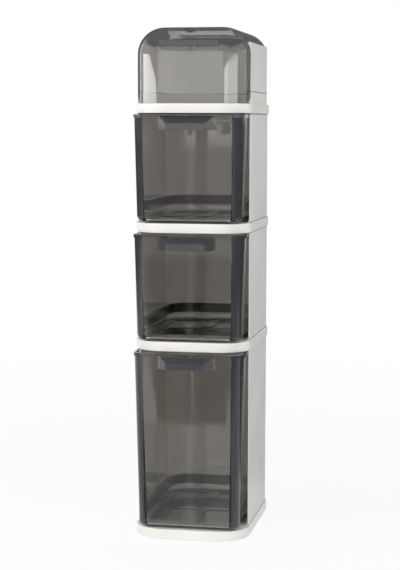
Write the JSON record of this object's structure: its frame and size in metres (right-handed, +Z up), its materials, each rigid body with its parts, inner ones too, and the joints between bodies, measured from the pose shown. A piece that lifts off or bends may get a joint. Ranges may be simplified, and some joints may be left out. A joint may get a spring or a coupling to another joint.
{
  "type": "rolling drawer organizer",
  "caption": "Slim white tower of smoke-tinted pull-out drawers on hidden rollers, with a domed flip-up compartment on top, for toiletries in a narrow gap.",
  "frame": {"origin": "on the floor, under the middle of the closed tower's bounding box", "axes": "+Z up, the drawers open towards -Y, +X to the right seen from the front"},
  "size_m": [0.2, 0.3224, 0.8775],
  "materials": {
    "white_plastic": "satin moulded",
    "smoke_plastic": "glossy smoke tint, see-through",
    "clear_smoke_plastic": "glossy light smoke tint, see-through",
    "roller_plastic": "matt",
    "steel": "plain drawn wire"
  },
  "bodies": {
    "tower": {"base": "white_plastic", "shelf_lower": "white_plastic", "shelf_upper": "white_plastic", "top_deck": "white_plastic", "hood": "white_plastic", "tier_lower": "white_plastic", "tier_middle": "white_plastic", "tier_upper": "white_plastic", "axle_front_left": "steel", "axle_front_right": "steel", "axle_rear_left": "steel", "axle_rear_right": "steel", "hinge_pin_left": "steel", "hinge_pin_right": "steel"},
    "tall_drawer": {"drawer_tall": "smoke_plastic"},
    "middle_drawer": {"drawer_middle": "smoke_plastic"},
    "upper_drawer": {"drawer_upper": "smoke_plastic"},
    "lid": {"lid": "clear_smoke_plastic"},
    "roller_front_left": {"roller_front_left": "roller_plastic"},
    "roller_front_right": {"roller_front_right": "roller_plastic"},
    "roller_rear_left": {"roller_rear_left": "roller_plastic"},
    "roller_rear_right": {"roller_rear_right": "roller_plastic"}
  },
  "joints": [
    {"name": "tall_drawer_slide", "type": "slide", "parent": "tower", "child": "tall_drawer", "axis": [0, -1, 0], "range_m": [0, 0.2]},
    {"name": "middle_drawer_slide", "type": "slide", "parent": "tower", "child": "middle_drawer", "axis": [0, -1, 0], "range_m": [0, 0.2]},
    {"name": "upper_drawer_slide", "type": "slide", "parent": "tower", "child": "upper_drawer", "axis": [0, -1, 0], "range_m": [0, 0.2]},
    {"name": "lid_hinge", "type": "hinge", "parent": "tower", "child": "lid", "pos_m": [0, 0.15725, 0.8567], "axis": [-1, 0, 0], "range_deg": [0, 105]},
    {"name": "roller_front_left_spin", "type": "hinge", "parent": "tower", "child": "roller_front_left", "pos_m": [-0.066, -0.09475, 0.007], "axis": [1, 0, 0], "continuous": true},
    {"name": "roller_front_right_spin", "type": "hinge", "parent": "tower", "child": "roller_front_right", "pos_m": [0.066, -0.09475, 0.007], "axis": [1, 0, 0], "continuous": true},
    {"name": "roller_rear_left_spin", "type": "hinge", "parent": "tower", "child": "roller_rear_left", "pos_m": [-0.066, 0.12125, 0.007], "axis": [1, 0, 0], "continuous": true},
    {"name": "roller_rear_right_spin", "type": "hinge", "parent": "tower", "child": "roller_rear_right", "pos_m": [0.066, 0.12125, 0.007], "axis": [1, 0, 0], "continuous": true}
  ]
}
